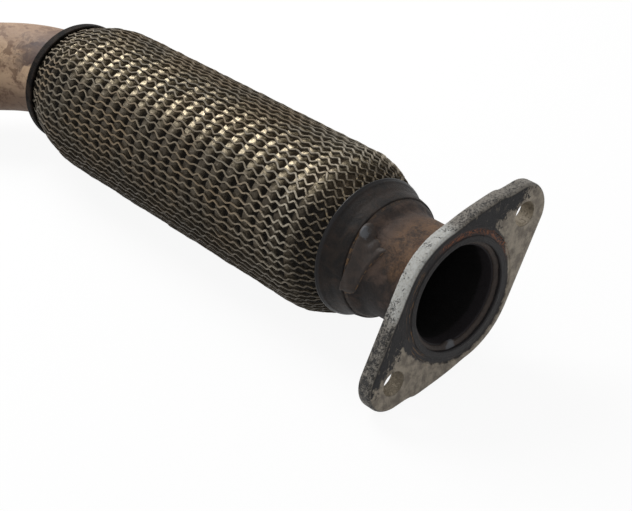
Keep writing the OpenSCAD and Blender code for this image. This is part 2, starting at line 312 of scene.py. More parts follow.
def plate_finish(c):
    """Stained steel with a gasket's print and soot on its face, and a pitted edge, pale on its upper flank
    as painted light.
    """
    f = Finish("plate_steel", 0.25)
    cos, sin = math.cos(LIE), math.sin(LIE)
    u, v, r = f.y * cos + f.z * sin, f.z * cos - f.y * sin, f.radius()
    flat = f.step(f.face, 0.72, 0.95).most(f.step(r, 31.9, 31.2))
    broad, patch, blotch = f.noise(0.07, 4), f.noise(0.22, 7, 0.65), f.noise(0.32, 6, 0.72)
    fine, pit, grit = f.noise(1.1, 8, 0.7), f.noise(1.3, 4, 0.75), f.noise(3.2, 4, 0.7)
    rings = f.noise(1.0, 4, 0.6, at=f.join(r * 2.2, f.round() * 2.4, 0.0))
    f.base = f.mix(f.step(patch, 0.36, 0.62), c.plate_dark, c.plate)
    scuffs = f.noise(1.0, 5, 0.7, at=f.join(u * 0.12 + v * 0.1, v * 1.1 - u * 0.9, 0.0))
    f.cover(f.step(scuffs, 0.56, 0.66, 0.55), shade(72, 66, 60))
    f.cover(f.step(fine, 0.58, 0.72, 0.35), c.plate_edge)
    upper = f.step(v + abs(u) * 0.18 + (broad - 0.5) * 12 + (blotch - 0.5) * 22, 14.0, 16.5)
    soot = upper * f.step(patch + scuffs, 0.74, 0.9)
    f.cover(soot * flat, c.soot)
    wide = 29.6 + f.step(v, -8.0, 10.0) * 3.2 - f.step(u, 10.0, 30.0)
    print_mask = f.step(r + (patch - 0.5) * 3.4 + (fine - 0.5) * 1.6 - wide, 0.5, -0.5) * flat
    tone = f.mix(f.step(rings, 0.36, 0.66), shade(22, 21, 22), c.gasket)
    tone = f.mix(f.step(rings, 0.62, 0.7, 0.6) * f.step(r, 26.0, 28.0), tone, shade(98, 86, 74))
    f.cover(print_mask, tone)
    scratch = f.step(rings, 0.56, 0.62) * f.band(r, 26.8, 31.0, 0.6)
    scratch = scratch * f.step(u, 8.0, -8.0) * f.step(v, -16.0, 0.0)
    f.cover(scratch * f.step(patch, 0.4, 0.55), c.ochre)
    ring = f.band(r + (patch - 0.5) * 2.4, 27.6, 30.0, 0.6) * f.step(u, 0.0, 10.0) * f.step(v, -12.0, 0.0)
    rust = ring * f.step(pit, 0.48, 0.56)
    speck = f.step(fine, 0.66, 0.74) * f.step(r, 32.0, 27.0)
    f.cover((rust * 0.9).most(speck * 0.6) * flat, c.rust)
    f.cover(f.step(r, MOUTH_R + 0.9, MOUTH_R + 0.2) * 0.9, shade(30, 28, 29))
    # Painted light: the edge stays pale, with fewer pits, on its upper flank where the key lamp falls, and
    # is stained darker elsewhere; the pits are wear
    bright = f.step(u + (broad - 0.5) * 20, -36.0, -16.0) * f.step(u + (broad - 0.5) * 14, 22.0, 10.0)
    bright = bright * f.step(v, -4.0, 8.0)
    speckle = pit * 0.4 + grit * 0.25 + blotch * 0.35
    pits = f.step(speckle - bright * 0.065 - f.step(u, 12.0, 20.0) * 0.03, 0.475, 0.53)
    edge = f.mix(f.step(fine, 0.3, 0.6), shade(158, 155, 147), c.plate_edge)
    edge = f.mix(f.step(bright, 0.8, 0.0, 0.8), edge, c.plate_dark)
    edge = f.mix(pits * 0.95, edge, shade(34, 34, 35))
    f.base = f.mix(flat, edge, f.base)
    from_hole = ((abs(u) - HALF_PITCH) * (abs(u) - HALF_PITCH) + v * v) ** 0.5
    f.cover(f.step(from_hole, HOLE_R + 0.25, HOLE_R - 0.1) * 0.9, shade(140, 128, 108))
    roughness = 0.5 + f.step(fine, 0.3, 0.8, 0.2) + soot * flat * 0.1
    height = fine * 0.5 + grit * 0.25 - pits * (1 - flat) * 0.7
    height = height + rings * print_mask * 0.5 - soot * flat * 0.2 - scuffs * 0.3
    return f.done(roughness, height, 0.4)


def neck_finish(c):
    """Brown rust, black below as painted shade, tan on top near the flange, and soot inside that turns
    near-black deeper in as painted shade.
    """
    f = Finish("rusty_tube", 0.16)
    patch, fine, grit = f.noise(0.16, 7, 0.65, warp=0.6), f.noise(0.9, 8, 0.7), f.noise(3.5, 4)
    black = f.noise(0.09, 5, 0.6, warp=0.5)
    f.base = f.mix(f.step(patch, 0.3, 0.68), shade(34, 30, 29), shade(78, 64, 56))
    # Black patches, which grow a little towards the bottom as painted shade
    f.cover(f.step(black - f.z * 0.004, 0.42, 0.58, 0.82), shade(25, 22, 22))
    # Painted shade: the lower side of the neck darker
    low = f.step(f.z + (patch - 0.5) * 26 + (fine - 0.5) * 10, 12.0, -8.0)
    f.cover(low * 0.5, shade(27, 24, 24))
    near = f.step(f.s + (patch - 0.5) * 9 - f.z * 0.1, 16.0, 8.0)
    f.cover(near * f.step(fine, 0.26, 0.74) * 0.65, c.rust)
    tan = f.step(f.z + (black - 0.5) * 30, 9.0, 19.0) * f.step(f.s + (patch - 0.5) * 14, 34.0, 24.0)
    tan = tan * f.step(fine + patch, 0.72, 1.26)
    f.cover(tan * 0.7, shade(116, 88, 64))
    # Soot inside: slate near the mouth, then near-black deeper in as painted shade of the bore
    deep = f.mix(f.step(f.s + (patch - 0.5) * 3, 8.0, 10.0), shade(32, 29, 31), shade(9, 8, 8))
    f.cover(f.step(f.radius(), TUBE_R - 0.5, TUBE_R - 0.9), deep)
    return f.done(0.55 + fine * 0.25, fine * 0.8 + grit * 0.3 + patch * 0.8, 0.5)


def cap_finish(c):
    """Heat-darkened steel with flecks of rust and a smooth lip."""
    f = Finish("cap_steel", 0.15)
    patch, fine = f.noise(0.14, 6, 0.6, warp=0.5), f.noise(1.2, 7, 0.68)
    f.base = f.mix(f.step(patch, 0.36, 0.64), shade(13, 10, 9), shade(38, 30, 25))
    f.cover(f.step(f.s + (patch - 0.5) * 6, 45.0, 51.0) * 0.35, shade(20, 18, 18))
    f.cover(f.step(fine + patch * 0.6, 0.92, 1.1, 0.25), c.rust)
    lip = f.step(f.s, CAP_REAR - 2.4, CAP_REAR - 1.4)
    f.cover(lip * 0.95, shade(30, 29, 30))
    roughness = 0.58 - lip * 0.26 + (fine - 0.5) * 0.16
    return f.done(roughness, (fine * 0.7 + patch) * (1 - lip * 0.8), 0.45)


def weld_finish(c):
    """Dark scale, blue-grey where the bead stands highest, with ochre rims."""
    f = Finish("weld_bead", 0.26)
    patch, fine, rise = f.noise(0.35, 6, 0.6), f.noise(1.6, 6), f.attribute("rise")
    f.base = f.mix(f.step(patch, 0.35, 0.65), c.scale, shade(56, 47, 42))
    turn = f.round()
    here = f.band(turn, -0.25, 0.92, 0.1) * 0.8 + f.band(turn, 1.1, 1.9, 0.2) * 0.35
    rim = f.band(rise, 0.5, 0.85, 0.12) * f.step(fine + patch * 1.4, 1.14, 1.34) * here
    f.cover(rim, c.ochre)
    spot = f.band(turn, 0.7, 0.86, 0.06) * f.band(f.s, 40.0, 43.0, 0.8)
    f.cover(spot * f.step(fine, 0.4, 0.55), c.ochre)
    f.cover(f.step(rise + (patch - 0.5) * 3 + (fine - 0.5) * 1.5, 2.3, 3.3) * 0.9, c.weld)
    return f.done(0.5 + fine * 0.2, fine * 0.4 + patch * 0.5, 0.35)


def strip_finish(c):
    """Tarnished steel, paler in front as painted light, with dirt and painted shade on the strips' lower
    edges, and painted shade low down and on top of the sleeve.
    """
    f = Finish("strip_steel", 0.3)
    lift = f.attribute("lift")
    patch, fine = f.noise(0.045, 4, 0.6), f.noise(0.9, 6, 0.7)
    # Painted light: the strips are paler towards the front end, standing in for light from the front
    painted_front_light = f.step(f.s + (patch - 0.5) * 40, SLEEVE_FRONT + 70, SLEEVE_FRONT)
    f.base = f.mix(f.step(patch + (fine - 0.5) * 0.5, 0.35, 0.65), c.strip, shade(122, 107, 86))
    f.cover(painted_front_light * f.step(fine, 0.35, 0.6) * 0.85, shade(176, 168, 152))
    # Dirt and painted shade: darker on the strips' lower edges deep in the sleeve, and a little on every
    # second, lower strip
    dirt_and_depth_shade = f.step(lift + (fine - 0.5) * 0.5, 0.9, 0.25)
    f.cover(dirt_and_depth_shade * 0.85, c.strip_dirt_and_shade)
    hem = f.step(f.s + (patch - 0.5) * 8 + (fine - 0.5) * 6, SLEEVE_FRONT + 16, SLEEVE_FRONT + 5)
    f.cover(hem * 0.8, f.mix(f.step(fine, 0.52, 0.66), shade(48, 40, 30), shade(122, 102, 66)))
    # Painted shade: darker and less metallic towards the bottom, and darker and rougher on top where the key
    # lamp's highlight falls
    under = f.step(f.z + (patch - 0.5) * 16, 16.0, -24.0)
    painted_top_shade = f.step(f.z + (patch - 0.5) * 10, 20.0, 30.0) * f.step(f.s, SLEEVE_FRONT + 12, SLEEVE_FRONT + 30)
    f.cover((under * 0.8).most(painted_top_shade * 0.25), c.strip_dirt_and_shade)
    roughness = 0.5 + fine * 0.2 + dirt_and_depth_shade * 0.15 + painted_top_shade * 0.1
    return f.done(roughness, fine, 0.08, 0.65 - under * 0.45 - painted_top_shade * 0.3)


def bellows_finish(c):
    """Heat-tinted steel, bright on top of the crests, with painted shade in the grooves and on the lower
    side.
    """
    f = Finish("bellows_steel", 0.2)
    patch, fine, dents = f.noise(0.06, 5, 0.6), f.noise(0.8, 6), f.noise(0.34, 3)
    f.base = f.mix(f.step(patch + (fine - 0.5) * 0.9, 0.44, 0.7, 0.6), c.bellows, c.strip_dirt_and_shade)
    # Painted shade: dark in the grooves, less dark where they face the lamp on top, and the whole bellows
    # darker and less metallic on its lower side
    low = f.step(f.attribute("lift") + (fine - 0.5) * 1.4, 0.75, 0.15)
    under = f.step(f.z + (patch - 0.5) * 8, 33.0, 22.0)
    f.cover(under * 0.85, shade(58, 51, 43))
    f.cover(low * 0.95, f.mix(under, shade(66, 56, 44), shade(20, 17, 14)))
    roughness = 0.38 + fine * 0.2 + low * 0.3
    return f.done(roughness, fine * 0.3 + dents, 0.65, 0.85 - under * 0.55 - low * 0.3)


def liner_finish(c):
    """Steel under soot."""
    f = Finish("liner_steel", 0.1)
    fine = f.noise(0.5, 7, 0.7)
    f.base = f.mix(f.step(fine, 0.4, 0.7), c.soot, c.liner)
    return f.done(0.7 + fine * 0.2, fine, 0.2)


def clamp_finish(c):
    """Dull steel."""
    f = Finish("clamp_steel")
    fine = f.noise(0.8, 6, 0.65)
    f.base = f.mix(f.step(fine, 0.4, 0.65), c.strip_dirt_and_shade, c.strip)
    return f.done(0.5 + fine * 0.2, fine, 0.1, 0.7)


def cup_finish(c):
    """Black steel with old rust on its rear face."""
    f = Finish("rear_cap_steel", 0.05)
    patch, fine = f.noise(0.2, 6), f.noise(1.5, 6)
    f.base = f.mix(f.step(patch, 0.42, 0.62, 0.75), c.cup, shade(40, 33, 28))
    behind = f.step(f.s + (patch - 0.5) * 4, SKIRT_REAR - 3.0, SKIRT_REAR - 1.0)
    f.cover(behind * f.step(fine + patch * 0.5, 0.7, 0.92) * 0.55, c.rust_dark)
    return f.done(0.5 + fine * 0.25, fine + patch * 0.6, 0.35)


def pipe_finish(c):
    """Tan bloom with brown patches, dark stains near the cap, soot inside, and painted shade along the top
    and the underside.
    """
    f = Finish("pipe_steel", 0.3)
    patch, blot = f.noise(0.05, 6, 0.6, warp=0.8), f.noise(0.16, 5, 0.6, warp=0.6)
    fine = f.noise(0.5, 8, 0.72)
    streak = f.noise(0.14, 5, 0.65, at=f.stretch(0.3, 1.0, 1.0))
    f.base = f.mix(f.step(patch * 0.5 + streak * 0.5, 0.38, 0.49), c.pipe_bloom_and_shade, c.pipe)
    f.cover(f.step(fine, 0.54, 0.68, 0.45), c.pipe_bloom_and_shade)
    f.cover(f.step(blot + (fine - 0.5) * 0.25, 0.54, 0.62, 0.75), shade(94, 69, 52))
    near = f.step(f.s + (blot - 0.5) * 50, SKIRT_REAR + 26, SKIRT_REAR + 12)
    f.cover(near * f.step(f.z + (blot - 0.5) * 30, 6.0, 14.0) * 0.9, c.pipe_stain)
    # Painted shade: darker along the top edge and on the underside
    f.cover(f.step(f.z + (streak - 0.5) * 20, 17.0, 23.0) * 0.6, c.pipe_bloom_and_shade)
    f.cover(f.step(f.z + (patch - 0.5) * 8, 9.0, -9.0) * 0.85, shade(76, 55, 41))
    f.cover(f.attribute("inside") * 0.95, c.soot)
    return f.done(0.5 + fine * 0.25, fine * 0.7 + patch * 0.4, 0.2)


FINISHES = {
    "plate_steel": plate_finish, "rusty_tube": neck_finish, "cap_steel": cap_finish,
    "weld_bead": weld_finish, "strip_steel": strip_finish, "bellows_steel": bellows_finish,
    "liner_steel": liner_finish, "clamp_steel": clamp_finish, "rear_cap_steel": cup_finish,
    "pipe_steel": pipe_finish,
}
MADE = {}


def finish(slot):
    """The material of a slot, made on its first use."""
    if slot not in MADE:
        MADE[slot] = FINISHES[slot](bpy.context.scene.flex_pipe_colours)
    return MADE[slot]


def settle(name, points, faces, slot, body, nodes, hinge=None, sharp=38.0, extra=None):
    """Makes a closed piece from points in millimetres; without a hinge it puts it on its body in the frame,
    with one it leaves it in the frame on no body.
    """
    mesh = bpy.data.meshes.new(name)
    mesh.from_pydata((np.asarray(points) * MM).tolist(), [], faces)
    work = bmesh.new()
    work.from_mesh(mesh)
    bmesh.ops.recalc_face_normals(work, faces=work.faces)
    work.to_mesh(mesh)
    work.free()
    mesh.polygons.foreach_set("use_smooth", np.ones(len(mesh.polygons), bool))
    mesh.set_sharp_from_angle(angle=math.radians(sharp))
    for key, values in (extra or {}).items():
        mesh.attributes.new(key, "FLOAT", "POINT").data.foreach_set("value", np.asarray(values, np.float32))
    mesh.materials.append(finish(slot))
    piece = bpy.data.objects.new(name, mesh)
    bpy.context.scene.collection.objects.link(piece)
    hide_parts(*nodes)
    if hinge:
        -hinge * MM
        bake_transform(piece)
    else:
        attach(piece, body)
    return piece


def loft(rings, closed=True, first=0):
    """Quads between neighbouring rings of one length; closed also joins the last to the first."""
    count, faces = len(rings[0]), []
    for k in range(len(rings) - (0 if closed else 1)):
        a, b = first + k * count, first + (k + 1) % len(rings) * count
        faces += [(a + i, a + (i + 1) % count, b + (i + 1) % count, b + i) for i in range(count)]
    return faces


def rounded(points, times=2):
    """Cuts the corners of a closed outline."""
    p = np.asarray(points, float)
    for _ in range(times):
        q = np.roll(p, -1, axis=0)
        p = np.stack([0.75 * p + 0.25 * q, 0.25 * p + 0.75 * q], axis=1).reshape(-1, 2)
    return p


def finely(points, step):
    """Adds points to the long sides of a closed outline."""
    p, made = np.asarray(points, float), []
    for a, b in zip(p, np.roll(p, -1, axis=0)):
        count = max(1, int(np.hypot(*(b - a)) / step))
        made += [a + (b - a) * i / count for i in range(count)]
    return np.array(made)


def needed(rows):
    """Which points of a closed profile give it its form: all but those inside a straight stretch."""
    ahead = np.roll(rows, -1, axis=0) - rows
    ahead = ahead / np.linalg.norm(ahead, axis=1)[:, None]
    straight = np.linalg.norm(ahead - np.roll(ahead, 1, axis=0), axis=1) < 1e-6
    return ~(straight & np.roll(straight, 1) & np.roll(straight, -1))


def waver(seed, angles, stations, size, count=14, turns=18, pitch=6.0):
    """A smooth random height over angle and station, the same on every run."""
    draw, total = random.Random(seed), 0
    for _ in range(count):
        wave = draw.randint(1, turns) * angles + stations * draw.uniform(-1, 1) * math.tau / pitch
        total = total + np.sin(wave + draw.uniform(0, math.tau))
    return size * total / math.sqrt(count)


def full_turn(count):
    """Angles round the axis in even steps."""
    return np.linspace(0, math.tau, count, endpoint=False)


def hoop(s, r, angles):
    """Points round the axis at one station, or at a station for each angle."""
    return np.stack([np.full(len(angles), -s), r * np.cos(angles), r * np.sin(angles)], axis=1)


def turned(profile, around=192, shape=None):
    """Rings of a closed profile of radius and station, with a shape that lifts the outside."""
    angles = full_turn(around)
    rings = []
    for r, s in profile:
        rise = shape(r, s, angles) if shape else 0.0
        rings.append(hoop(s, r + rise, angles))
    return np.concatenate(rings), loft(rings)


def walled(s, outer, inner, value):
    """A tube from its radii at a row of stations, and the value that each of its points carries."""
    around = 120
    rows = np.concatenate([np.stack([outer, s, value], axis=1), np.stack([inner, s, value], axis=1)[::-1]])
    rows = rows[needed(rows)]
    return *turned(rows[:, :2], around), np.repeat(rows[:, 2], around)


def ripples(seed, angles, size, pitch, r):
    """The fish scales of a weld round a ring."""
    draw = random.Random(seed)
    count = int(math.tau * r / pitch)
    phase = angles * count / 2 + 0.5 * np.sin(3 * angles + draw.uniform(0, 6))
    phase = phase + 0.4 * np.sin(7 * angles + draw.uniform(0, 6))
    return size * (np.abs(np.sin(phase)) - 0.6) + waver(seed + 1, angles, 0.0, size * 0.6, 8, 24)


def plate_outline(count):
    """The plate's outline and its outward normals, u along the ears and v towards the upper flank."""
    flank = math.asin((ROUND_R - EAR_R) / HALF_PITCH)
    n = np.array([math.sin(flank), math.cos(flank)])
    ear = np.array([HALF_PITCH, 0.0])
    start, stop = ROUND_R * n, ear + EAR_R * n
    run = stop - start

    def arc(centre, r, a0, a1):
        return [centre + r * np.array([math.cos(a), math.sin(a)]) for a in np.linspace(a0, a1, 60)]

    half = arc(np.zeros(2), ROUND_R, math.pi / 2 + flank, math.pi / 2 - flank)
    half += [start + share * run + rise * SHOULDER * n
             for share, rise in ((0.25, 0.8), (0.55, 1.0), (0.74, 1.0), (0.8, 0.15))]
    half += arc(ear, EAR_R, math.pi / 2 - flank, -math.pi / 2 + flank)
    loop = rounded(half + [-p for p in half], 3)
    far = np.concatenate([[0], np.cumsum(np.hypot(*(np.roll(loop, -1, axis=0) - loop).T))])
    closed = np.concatenate([loop, loop[:1]])
    at = np.linspace(0, far[-1], count, endpoint=False)
    even = np.stack([np.interp(at, far, closed[:, k]) for k in (0, 1)], axis=1)
    along = np.roll(even, -2, axis=0) - np.roll(even, 2, axis=0)
    normal = np.stack([-along[:, 1], along[:, 0]], axis=1)
    normal /= np.linalg.norm(normal, axis=1)[:, None]
    return even, normal * np.sign(np.sum(normal * even, axis=1).mean())


def within(points, loop):
    """Which points lie inside a closed outline."""
    x, y = points[:, :1], points[:, 1:]
    (ax, ay), (bx, by) = loop.T, np.roll(loop, -1, axis=0).T
    meets = ax + (y - ay) * (bx - ax) / (by - ay + 1e-12)
    return (((ay > y) != (by > y)) & (x < meets)).sum(1) % 2 == 1


def smooth(t):
    """Rises from 0 to 1 with soft ends."""
    t = np.clip(t, 0, 1)
    return t * t * (3 - 2 * t)


class FLEXPIPE_OT_flange(bpy.types.Operator):
    """Make the stamped plate with its holes, gasket seat and rounded edges"""

    bl_idname = "flexpipe.flange"
    bl_label = "Flange"

    def execute(self, context):
        edge = context.scene.flex_pipe_sizes.edge_round / MM
        outline, normal = plate_outline(420)
        circle = hoop(0.0, 1.0, full_turn(96))[:, 1:]
        holes = [np.array([side * HALF_PITCH, 0.0]) for side in (1, -1)]
        points, faces = [], []

        def ring(flat, depth):
            depth = np.broadcast_to(depth, len(flat))
            y = flat[:, 0] * math.cos(LIE) - flat[:, 1] * math.sin(LIE)
            z = flat[:, 0] * math.sin(LIE) + flat[:, 1] * math.cos(LIE)
            first = sum(len(p) for p in points)
            points.append(np.stack([-depth, y, z], axis=1))
            return list(range(first, first + len(flat)))

        def side(rows):
            for a, b in zip(rows, rows[1:]):
                faces.extend((a[i], a[(i + 1) % len(a)], b[(i + 1) % len(a)], b[i]) for i in range(len(a)))

        def lid(rim, rings, depth, seat):
            """One flat side: a fine net between the rim and the round openings."""
            draw = random.Random(5)
            half_u, half_v, mesh, slope = 58, 36, 2.4, 0.25
            grid = np.array([(u + draw.uniform(-0.5, 0.5), v + draw.uniform(-0.5, 0.5))
                             for u in np.arange(-half_u, half_u, mesh)
                             for v in np.arange(-half_v, half_v, mesh)])
            keep = within(grid, rim)
            for p in (rim, *rings):
                keep &= np.min(np.linalg.norm(grid[:, None] - p[None], axis=2), axis=1) > mesh / 2
            walls = (SEAT_IN, SEAT_IN + slope, SEAT_OUT - slope, SEAT_OUT) if seat else ()
            seats = [circle * r for r in walls]
            for p in seats:
                keep &= np.abs(np.hypot(*grid.T) - np.hypot(*p[0])) > 0.7
            loops = [rim, *rings, *seats]
            flat = np.concatenate([*loops, grid[keep]])
            edges, first = [], 0
            for p in loops:
                edges += [(first + i, first + (i + 1) % len(p)) for i in range(len(p))]
                first += len(p)
            made = delaunay_2d_cdt([Vector(p) for p in flat], edges, [], 0, 1e-5)
            flat_out = np.array([tuple(p) for p in made[0]])
            middle = np.array([flat_out[list(t)].mean(0) for t in made[2]])
            good = within(middle, rim) & (np.hypot(*middle.T) > np.hypot(*rings[0][0]))
            for hole, p in zip(holes, rings[1:]):
                good &= np.linalg.norm(middle - hole, axis=1) > np.linalg.norm(p[0] - hole)
            r = np.hypot(*flat_out.T)
            low = np.where((r > SEAT_IN + 0.1) & (r < SEAT_OUT - 0.1), SEAT_DEPTH, 0.0) if seat else 0.0
            index = ring(flat_out, depth + low)
            faces.extend(tuple(index[i] for i in t) for t, ok in zip(made[2], good) if ok)
            where = {origin: index[k] for k, several in enumerate(made[3]) for origin in several}
            out, first = [], 0
            for p in loops[:len(rings) + 1]:
                out.append([where[first + i] for i in range(len(p))])
                first += len(p)
            return out

        bevel, chamfer, back_edge, fit = 0.4, 0.15, 1.0, 0.1
        drilled = [hole + circle * (HOLE_R + chamfer) for hole in holes]
        front = lid(outline - normal * edge, [circle * (MOUTH_R + bevel), *drilled], 0.0, True)
        back = lid(outline - normal * back_edge, [circle * (TUBE_R + fit), *drilled], FLANGE_T, False)
        turns = np.linspace(0, math.pi / 2, 9)[1:]
        rows = [ring(outline - normal * edge * (1 - math.sin(t)), edge * (1 - math.cos(t))) for t in turns]
        for t in np.linspace(0, math.pi / 2, 6)[:-1]:
            inset, up = back_edge * (1 - math.cos(t)), back_edge * (1 - math.sin(t))
            rows.append(ring(outline - normal * inset, FLANGE_T - up))
        side([front[0], *rows, back[0]])
        mouth = [(MOUTH_R, bevel), (MOUTH_R, NECK_FRONT - fit), (MOUTH_R - fit, NECK_FRONT),
                 (TUBE_R + fit, NECK_FRONT)]
        side([front[1], *(ring(circle * r, depth) for r, depth in mouth), back[1]])
        for k, hole in enumerate(holes):
            wall = [ring(hole + circle * HOLE_R, depth) for depth in (chamfer, FLANGE_T - chamfer)]
            side([front[2 + k], *wall, back[2 + k]])
        settle("flange_plate", np.concatenate(points), faces, "plate_steel", "flange_end", ["flange"])
        return {"FINISHED"}


NECK_STEP = ((STEP_FRONT, TUBE_R), (STEP_FRONT + 1.5, TUBE_R + STEP_SOFT),
             (STEP_REAR - 1.5, SOCKET_R - STEP_SOFT), (STEP_REAR, SOCKET_R))


def neck_surface(s):
    """Outer radius of the neck and, behind the step, of the cap's foot."""
    known = [*NECK_STEP, (43.4, 28.0), (46.7, 29.0)]
    return np.interp(s, [station for station, _ in known], [r for _, r in known])


class FLEXPIPE_OT_neck(bpy.types.Operator):
    """Make the tube between the flange and the flexible section"""

    bl_idname = "flexpipe.neck"
    bl_label = "Neck"

    def execute(self, context):
        wall = TUBE_R - BORE_R
        outside = [(TUBE_R, NECK_FRONT), *((r, s) for s, r in NECK_STEP), (SOCKET_R, NECK_REAR)]
        inside = [(SOCKET_R - wall, NECK_REAR), (SOCKET_R - wall, STEP_REAR + 0.8),
                  (BORE_R, STEP_FRONT + 0.8), (BORE_R, NECK_FRONT)]
        profile = rounded(finely(outside + inside, 1.4))

        def outer(r, s):
            return r > neck_surface(s) - 0.6

        def shape(r, s, angles):
            return waver(3, angles, s, 0.1, 12, 9, 14.0) if outer(r, s) and 9 < s < 40 else 0.0

        profile = profile[needed(profile) | outer(*profile.T)]
        settle("neck_tube", *turned(profile, 192, shape), "rusty_tube", "flange_end", ["neck"])
        return {"FINISHED"}


class FLEXPIPE_OT_welds(bpy.types.Operator):
    """Make the weld beads, with the lump and the wedge at the neck"""

    bl_idname = "flexpipe.welds"
    bl_label = "Welds"

    def execute(self, context):
        size = context.scene.flex_pipe_sizes.ripple / MM
        mouth = [(TUBE_R - 0.9, NECK_FRONT + 0.3), (TUBE_R - 0.7, NECK_FRONT - 0.6),
                 (TUBE_R + 0.1, NECK_FRONT - 1.2), (MOUTH_R + 0.1, NECK_FRONT - 1.6),
                 (MOUTH_R + 0.2, NECK_FRONT + 0.3)]
        self.bead("weld_mouth", mouth, size, 11, "flange_end", ["flange_inner_weld"], 1.5)
        leg, sunk = 3.4, 0.3
        fillet = [(TUBE_R - sunk, FLANGE_T - 0.2), (TUBE_R + leg, FLANGE_T - 0.2),
                  (TUBE_R + 0.62 * leg, FLANGE_T + 0.42 * leg), (TUBE_R + 0.36 * leg, FLANGE_T + 0.8 * leg),
                  (TUBE_R + 0.1, FLANGE_T + 1.15 * leg), (TUBE_R - sunk, FLANGE_T + 1.1 * leg)]
        self.bead("weld_flange", fillet, size * 1.3, 23, "flange_end", ["flange_weld"])
        arc = full_turn(14)
        thick = 1.5
        rear = [(TUBE_R + 0.7 + thick * math.cos(a), SKIRT_REAR + 0.1 + thick * math.sin(a)) for a in arc]
        self.bead("weld_rear", rear, size, 37, "pipe_end", ["rear_weld"])
        self.neck_weld(size)
        return {"FINISHED"}

    def bead(self, name, profile, size, seed, body, nodes, lump=0.0):
        """A bead round the axis; a lump inside it stands near the lowest place."""
        middle = np.mean([r for r, _ in profile])
        lump_at, spread, pitch = math.radians(262), 0.006, 2.2

        def low(angles):
            return np.exp(-((np.cos((angles - lump_at) / 2) ** 2 - 1) / spread) ** 2)

        def shape(r, s, angles):
            scales = ripples(seed, angles, size, pitch, middle) * (1 if r > TUBE_R - 0.1 else 0.3)
            return scales - lump * low(angles) * (r < TUBE_R)

        points, faces = turned(rounded(finely(profile, 0.7)), 300, shape)
        rise = 1 + (2.0 * low(np.arctan2(points[:, 2], points[:, 1])) if lump else np.zeros(len(points)))
        settle(name, points, faces, "weld_bead", body, nodes, extra={"rise": rise})

    def neck_weld(self, size):
        """A skin that rises out of the neck as a bead, a wedge of folded sheet and a lump."""
        angles = full_turn(420)
        stations = np.linspace(24.0, 45.5, 64)
        from_camera = np.degrees(np.arctan2(np.sin(angles), -np.cos(angles)))
        # Front and rear edge of the wedge, by degrees up from the side of the camera
        start = np.interp(from_camera, [-16, 7.5, 21, 33, 46], [36.6, 32.6, 30.4, 28.3, 25.5])
        stop = np.interp(from_camera, [-16, -9, 24, 43], [43.6, 43.0, 39.6, 40.6])
        # Millimetres round the neck from the lump
        lump_at, lump_r = 51, 27.0
        across = np.radians(from_camera - lump_at) * lump_r
        # Stations and heights of the bead, of the lump and of the fold in front of it
        bead_s, lump_s, fold_s = 40.8, 37.6, 33.4
        bead_h, lump_h, fold_h, wedge_h = 0.85, 3.4, 2.6, 1.55
        scales = bead_h + ripples(51, angles, size * 0.4, 3.0, SOCKET_R)
        rings, rises = [], []
        for s in stations:
            bead = scales * math.exp(-((s - bead_s) / 1.7) ** 2)
            wedge = smooth((s - start) / 1.8) * smooth((stop - s) / 1.4)
            wedge = wedge * smooth((from_camera + 16) / 10) * smooth((50 - from_camera) / 8)
            bulge = 1 + waver(61, angles, s, 0.16, 10, 30, 9.0)
            far = np.hypot(across / 4.8, (s - lump_s - 0.25 * across) / 3.6)
            lump = lump_h * np.clip(1 - far ** 2 * bulge, 0, 1) ** 0.8
            far = np.hypot((across + 4.0) / 5.0, (s - fold_s) / 4.2)
            fold = fold_h * np.clip(1 - far ** 2, 0, 1) ** 0.8
            rise = np.maximum(np.maximum(bead, wedge_h * wedge), np.maximum(lump, fold))
            rise = rise + 0.12 * waver(58, angles, s, 1.0, 12, 40, 3.0) * smooth((rise - 1.0) / 1.5)
            r = neck_surface(s) - 0.45 + rise + waver(57, angles, s, 0.05, 10, 22, 5.0)
            rings.append(hoop(s, r, angles))
            rises.append(rise)
        for s in stations[::-6]:
            rings.append(hoop(s, neck_surface(s) - 0.95, angles))
            rises.append(np.zeros(len(angles)))
        settle("weld_neck", np.concatenate(rings), loft(rings), "weld_bead", "flange_end", ["neck_weld"],
               extra={"rise": np.concatenate(rises)})


